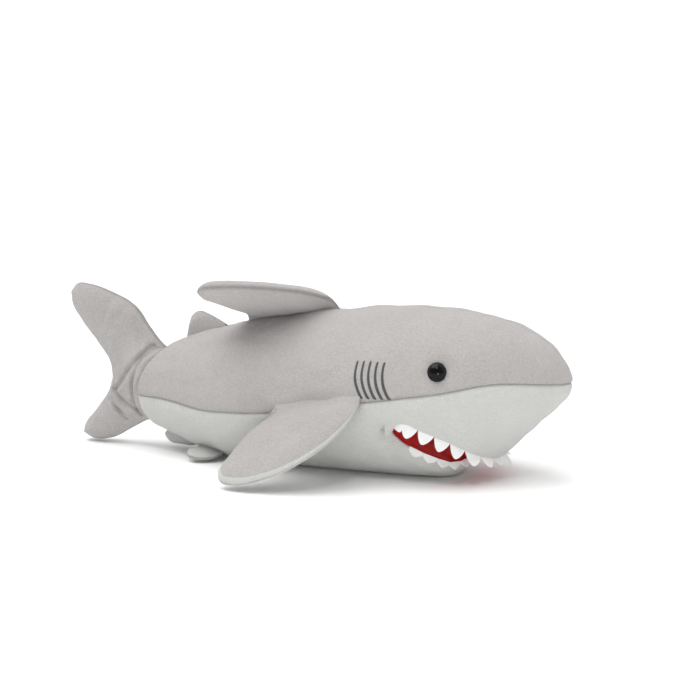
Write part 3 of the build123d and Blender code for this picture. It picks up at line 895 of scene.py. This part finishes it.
class Fin:
    """Stuffed fin on a root line. Its middle surface may bend as it leaves the body."""

    def __init__(self, root, along, bend, outline, thickness, deep=8.0, side=RIGHT):
        self.root = np.array(root, float)
        self.along = unit(along)
        self.thickness = thickness
        self.deep = deep
        self.side = side
        steps = np.linspace(-deep, FIN_LONGEST, 600)
        leaving = np.stack([unit(self.square(bend(w))) for w in steps])
        run = np.cumsum(leaving * (steps[1] - steps[0]), axis=0)
        self.steps = steps
        self.path = run - np.stack([np.interp(0, steps, run[:, k]) for k in range(3)])
        self.facing = np.cross(self.along, leaving)
        self.rim = trace(outline, FIN_EDGE_STEPS)

    def square(self, direction):
        """The part of a direction that is square to the root line."""
        direction = np.array(direction, float)
        return direction - self.along * (direction @ self.along)

    def sheet(self, face):
        """One side of the fin: rows round the rim, columns from the root outwards."""
        rim = self.rim
        start, end = rim[0, 0], rim[-1, 0]
        share = np.linspace(0, 1, FIN_EDGE_STEPS)
        foot_depth = np.full(FIN_EDGE_STEPS, -self.deep)
        foot = np.stack((start + (end - start) * share, foot_depth), axis=-1)
        out = np.linspace(0, 1, FIN_SPAN_STEPS) ** 0.85
        flat = foot[:, None] + (rim - foot)[:, None] * out[None, :, None]
        from_rim = near(flat, trace(rim, 900))
        soft = FIN_SOFT * from_rim.max()
        half = self.thickness / 2 * pillow(np.minimum(from_rim, soft) / soft)
        half = half * (0.6 + 0.4 * ease(flat[..., 1] / FIN_ROOT_FADE))
        place = [np.interp(flat[..., 1], self.steps, self.path[:, k]) for k in range(3)]
        middle = self.root + self.along * flat[..., :1] + np.stack(place, axis=-1)
        facing = [np.interp(flat[..., 1], self.steps, self.facing[:, k]) for k in range(3)]
        facing = unit(np.stack(facing, axis=-1))
        round_rim = np.arange(FIN_EDGE_STEPS)[:, None] * tau / 9  # nine steps round the rim to a pucker
        pucker = np.sin(round_rim + 2.5 * fin_ripple(middle)) * np.exp(-from_rim / 5)
        lumps = FIN_SWELL_HEIGHT * fin_swell(middle + OTHER_SWELL * face * facing) * ease(from_rim / 8)
        half = half + (FIN_PUCKER_HEIGHT * pucker + lumps) * ease(from_rim / 1.5)
        points = middle + face * facing * half[..., None]
        pile = PILE_HEIGHT * pile_swell(points)[..., None]
        points = points + pile * facing * ease(from_rim / 1.5)[..., None]
        points[..., 1] *= self.side
        points[..., 2] = np.maximum(points[..., 2], 0.2)
        # The second value is painted shade along the fin's rim seam.
        return points, bell(from_rim, 0.8)

    def whole(self):
        """Both sides as one closed skin."""
        (front, front_mark), (back, back_mark) = self.sheet(1), self.sheet(-1)
        return (
            np.concatenate((front, back[:, ::-1][:, 1:]), axis=1),
            np.concatenate((front_mark, back_mark[:, ::-1][:, 1:]), axis=1),
        )

    def under_sheet(self):
        """The lower side, whose fabric turns up over the rim as a narrow hem."""
        under, over = self.sheet(1)[0], self.sheet(-1)[0]
        lift = unit(over[:, -HEM_COLUMNS:] - under[:, -HEM_COLUMNS:]) * HEM_PROUD
        hem = (over[:, -HEM_COLUMNS:] + lift)[:, ::-1]
        inner = over[:, -HEM_COLUMNS - 1:-HEM_COLUMNS]
        grid = np.concatenate((under, hem[:, 1:], inner), axis=1)
        # Painted shade in a line along the inner edge of the hem.
        mark = np.zeros(grid.shape[:2])
        mark[:, -1] = 1
        return grid, mark


def hang(angle_at_distance):
    """Direction of a fin that leaves the body at an angle below level, out to the right."""
    return lambda w: (0, -cos(radians(angle_at_distance(w))), -sin(radians(angle_at_distance(w))))


def fin_skin(name, fin, material, nodes):
    """Both sides of a fin as one piece."""
    points, mark = fin.whole()
    piece = grid_mesh(f"{name}_skin", points, points.mean((0, 1)), mark)
    finish_piece(piece, material, nodes)
    return piece


# Pectoral fins
PECTORAL_OUTLINE = (
    (70, 0), (64, 17), (48, 38), (22, 58), (-14, 73), (-42, 76), (-57, 71), (-61, 61), (-52, 43),
    (-35, 19), (-15, 0),
)
for side, word in ((RIGHT, "right"), (LEFT, "left")):
    fin = Fin(
        (15, -84.2, 65.5), (0.984, -0.014, 0.178), hang(lambda w: 32 + 14 * ease((w + 6) / 30)),
        PECTORAL_OUTLINE, 17, deep=12, side=side,
    )
    body = f"pectoral_fin_{word}"
    top_points, _ = fin.sheet(-1)
    no_mark = np.zeros(top_points.shape[:2])
    top = grid_mesh(f"{body}_top_skin", top_points, (15, -110 * side, 0), no_mark)
    finish_piece(top, grey_plush, [f"pectoral_fin_top_{word}", f"pectoral_fin_filling_{word}"])
    bottom_points, bottom_mark = fin.under_sheet()
    bottom = grid_mesh(f"{body}_bottom_skin", bottom_points, (15, -60 * side, 160), bottom_mark)
    finish_piece(bottom, white_plush, [f"pectoral_fin_bottom_{word}"])
    for sheet in (top, bottom):
        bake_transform(sheet)

# Pelvic fins
PELVIC_OUTLINE = ((31, 0), (28, 12), (19, 20), (6, 22), (0, 15), (2, 0))
for side, word in ((RIGHT, "right"), (LEFT, "left")):
    fin = Fin(
        (-106, -31.5, 11.6), (0.968, -0.19, -0.165), hang(lambda w: 12),
        PELVIC_OUTLINE, 8, side=side,
    )
    body = f"pelvic_fin_{word}"
    nodes = [f"pelvic_fin_{part}_{word}" for part in ("top", "bottom", "filling")]
    pelvic_skin = fin_skin(body, fin, white_plush, nodes)
    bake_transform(pelvic_skin)

# Dorsal fin, which flops over the right side
DORSAL_OUTLINE = (
    (96, -2), (91, 14), (77, 45), (48, 73), (14, 91), (-6, 93), (-15, 84), (-14, 66), (-7, 38), (0, 0),
)


def flop(w):
    """Direction of the fin at a distance from its root: almost upright, then out to the right."""
    angle = radians(22 + 46 * float(ease((w + 4) / 24)))
    return 0, -sin(angle), cos(angle)


dorsal = Fin((-62, 0, 138), (0.989, 0, 0.146), flop, DORSAL_OUTLINE, 22)
dorsal_nodes = [f"dorsal_fin_{part}" for part in ("over", "under", "filling")]
dorsal_skin = fin_skin("dorsal_fin", dorsal, grey_plush, dorsal_nodes)
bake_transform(dorsal_skin)

# Rear dorsal fin
REAR_DORSAL_OUTLINE = ((50, 0), (43, 7), (34, 15), (27, 19.5), (18, 18), (11, 10), (5, 0))
rear_dorsal = Fin((-134, 0, 114.5), (0.952, 0, 0.306), lambda w: (0, 0, 1), REAR_DORSAL_OUTLINE, 13)
rear_nodes = [f"rear_dorsal_fin_{part}" for part in ("right", "left", "filling")]
rear_skin = fin_skin("rear_dorsal_fin", rear_dorsal, grey_plush, rear_nodes)
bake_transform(rear_skin)

# Anal fin
ANAL_OUTLINE = ((33, 0), (28, 5.5), (15, 11), (2, 14), (-6, 9), (-3, 0))
anal = Fin((-147, 0, 19.5), (0.93, 0, -0.368), lambda w: (0, 0, -1), ANAL_OUTLINE, 14)
anal_nodes = [f"anal_fin_{part}" for part in ("right", "left", "filling")]
anal_skin = fin_skin("anal_fin", anal, white_plush, anal_nodes)
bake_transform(anal_skin)

# ---- Tail --------------------------------------------------------------------------------------
TAIL_FRONT_UPPER = (
    (-258.5, 154), (-250, 163), (-238, 162.5), (-214, 156), (-186, 142), (-170, 121), (-160, 109),
    (-148, 98), (-140, 84), (-140, 66),
)
TAIL_FRONT_LOWER = (
    (-140, 66), (-142, 46), (-150, 35), (-164, 29), (-176, 25.5), (-192, 17), (-216, 4.5), (-238, 2.6),
    (-249, 8),
)
TAIL_REAR_UPPER = ((-258.5, 154), (-257, 142), (-246, 124), (-228, 102), (-215, 82), (-213.5, 69))
TAIL_REAR_LOWER = ((-213.5, 69), (-217, 57), (-233, 34), (-247, 16), (-249, 8))
TAIL_HALF = 12.0
TAIL_SOFT = 20.0
TAIL_OPEN_X = -147.0  # further forward its edge is inside the trunk and isn't sewn
TAIL_ROOT_SLOPE = 2.2
TAIL_SWELL_HEIGHT = 0.7
TAIL_LOBE_ROWS = 230
TAIL_COLUMNS = 130
# Thick root: distance along X, half-width, underside, top.
TAIL_ROOT = (
    (-212, 3, 46, 100), (-204, 6, 40, 110), (-190, 15, 30, 116), (-176, 24, 28, 110), (-160, 28, 30, 102),
    (-144, 29, 33, 96),
)
# Folds and creases in the tail: path seen from the side, depth, half-width.
TAIL_CREASES = (
    (((-204, 60), (-194, 73), (-179, 88), (-164, 104), (-152, 112)), 4.4, 2.5),
    (((-176, 34), (-183, 48), (-183, 66), (-178, 78), (-166, 97), (-152, 106)), 4.0, 2.3),
    (((-208, 58), (-195, 46), (-180, 39)), 3.4, 2.0),
    (((-212, 47), (-203, 37), (-194, 28)), 2.6, 1.9),
    (((-228, 22), (-212, 18)), 0.7, 2.2),
    (((-219, 124), (-206, 156)), 0.9, 3.0),
    (((-212, 118), (-192, 144)), 0.8, 2.6),
)
tail_sections = np.array(TAIL_ROOT, float)
tail_root_width = smooth_curve(tail_sections[:, 0], tail_sections[:, 1])
tail_root_bottom = smooth_curve(tail_sections[:, 0], tail_sections[:, 2])
tail_root_top = smooth_curve(tail_sections[:, 0], tail_sections[:, 3])
tail_swell = waves(41, 34)


def tail_edge(upper, lower):
    """Outline of both lobes on one side, from the upper tip to the lower."""
    return np.concatenate((trace(upper, TAIL_LOBE_ROWS), trace(lower, TAIL_LOBE_ROWS)[1:]))


def tail_skin(side):
    """One side of the crescent, from its upper tip through the thick root to its lower tip."""
    front = tail_edge(TAIL_FRONT_UPPER, TAIL_FRONT_LOWER)
    rear = tail_edge(TAIL_REAR_UPPER, TAIL_REAR_LOWER)
    share = np.linspace(0, 1, TAIL_COLUMNS)
    flat = front[:, None] + (rear - front)[:, None] * share[None, :, None]
    edge = np.concatenate((front, rear))
    edge = edge[edge[:, 0] < TAIL_OPEN_X]
    from_edge = near(flat, edge)
    x, z = flat[..., 0], flat[..., 1]
    half = TAIL_HALF * pillow(np.minimum(from_edge, TAIL_SOFT) / TAIL_SOFT)
    middle = (tail_root_bottom(x) + tail_root_top(x)) / 2
    tall = (tail_root_top(x) - tail_root_bottom(x)) / 2
    root = tail_root_width(x) * np.sqrt(np.clip(1 - ((z - middle) / tall) ** 2, 0, 1))
    root = np.minimum(root, TAIL_ROOT_SLOPE * from_edge)
    half = (half ** 4 + root ** 4) ** 0.25
    shaded = bell(from_edge, 0.8)
    for path, depth, width in TAIL_CREASES:
        off = near(flat, trace(path, 160))
        fold = bell(off, width) - 0.3 * bell(off - 2.6 * width, 1.4 * width)
        strength = depth * (0.8 + 0.3 * fin_ripple(np.stack((x, 0 * x, z), axis=-1)))
        half = half - strength * fold * ease(from_edge / 6)
        shaded = np.maximum(shaded, strength / 14 * bell(off, 1.4))
    points = np.stack((x, -side * half, z), axis=-1)
    pucker = np.sin((x + z) * tau / 6.5 + 2.5 * fin_ripple(points)) * np.exp(-from_edge / 6)
    lumps = TAIL_SWELL_HEIGHT * tail_swell(points) * ease(from_edge / 10) + FIN_PUCKER_HEIGHT * pucker
    lumps = lumps + PILE_HEIGHT * pile_swell(points)
    points[..., 1] -= side * lumps * ease(from_edge / 1.5)
    return points, shaded


for side, word in ((RIGHT, "right"), (LEFT, "left")):
    points, mark = tail_skin(side)
    tail = grid_mesh(f"tail_skin_{word}", points, (-200, side * 400, 80), mark)
    nodes = [f"tail_panel_{word}"] + (["tail_filling"] if side == RIGHT else [])
    finish_piece(tail, grey_plush, nodes)
    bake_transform(tail)

# ---- Floor, light and camera -------------------------------------------------------------------
FLOOR_HALF = 60
floor_mesh = bpy.data.meshes.new("floor")
floor_corners = [(FLOOR_HALF * x, FLOOR_HALF * y, 0) for x, y in ((-1, -1), (1, -1), (1, 1), (-1, 1))]
floor_mesh.from_pydata(floor_corners, [], [(0, 1, 2, 3)])
floor = bpy.data.objects.new("floor", floor_mesh)
bpy.context.scene.collection.objects.link(floor)
floor_surface = Surface("floor_paper", Roughness=0.9, Specular_IOR_Level=0.1)
paper_cloud = floor_surface.noise(0.3, 2)
floor_surface.colour(floor_surface.ramp(paper_cloud, ((0.3, even(0.93)), (0.7, even(0.95)))))
floor_mesh.materials.append(floor_surface.material)

world = bpy.data.worlds.new("studio")
world.use_nodes = True
world_nodes = world.node_tree.nodes
world_links = world.node_tree.links
world_nodes["Background"].inputs["Color"].default_value = (1, 1, 1, 1)
direction = world_nodes.new("ShaderNodeSeparateXYZ")
world_links.new(world_nodes.new("ShaderNodeTexCoord").outputs["Generated"], direction.inputs["Vector"])
# The backdrop behind the toy is bright, and the room in front of it is dimmer.
backdrop = world_nodes.new("ShaderNodeMapRange")
backdrop.interpolation_type = "SMOOTHSTEP"
for socket, value in (("From Min", -0.5), ("From Max", 0.3), ("To Min", 0.3), ("To Max", 1.06)):
    backdrop.inputs[socket].default_value = value
world_links.new(direction.outputs["Y"], backdrop.inputs["Value"])
world_links.new(backdrop.outputs["Result"], world_nodes["Background"].inputs["Strength"])
bpy.context.scene.world = world


def soft_light(name, place, size, power, target):
    """Round lamp turned towards a point."""
    light = bpy.data.lights.new(name, "AREA")
    light.shape = "DISK"
    light.size = size
    light.energy = power
    lamp = bpy.data.objects.new(name, light)
    lamp.location = place
    lamp.rotation_euler = (Vector(target) - Vector(place)).to_track_quat("-Z", "Y").to_euler()
    bpy.context.scene.collection.objects.link(lamp)


sun = bpy.data.lights.new("softbox", "SUN")
sun.energy = 2.15
sun.angle = radians(55)
softbox = bpy.data.objects.new("softbox", sun)
softbox.rotation_euler = Vector((0.35, 0.1, -1)).to_track_quat("-Z", "Y").to_euler()
bpy.context.scene.collection.objects.link(softbox)
soft_light("eye_light", (0.35, -0.9, 1.5), 0.32, 4, (0.15, -0.06, 0.11))
soft_light("mouth_light", (0.75, -1.3, 0.16), 0.3, 3.5, (0.14, -0.03, 0.04))

CAMERA_TARGET = Vector((0.0435, 0, 0.1112))
CAMERA_AZIMUTH = radians(20)
CAMERA_ELEVATION = radians(10.09)
CAMERA_DISTANCE = 1.5
camera_data = bpy.data.cameras.new("camera")
camera_data.lens = 80.3
camera_data.sensor_width = 36
camera = bpy.data.objects.new("camera", camera_data)
back_off = Vector((
    sin(CAMERA_AZIMUTH) * cos(CAMERA_ELEVATION),
    -cos(CAMERA_AZIMUTH) * cos(CAMERA_ELEVATION),
    sin(CAMERA_ELEVATION),
))
camera.location = CAMERA_TARGET + back_off * CAMERA_DISTANCE
camera.rotation_euler = (-back_off).to_track_quat("-Z", "Y").to_euler()
bpy.context.scene.collection.objects.link(camera)
bpy.context.scene.camera = camera
bpy.context.scene.view_settings.view_transform = "Standard"
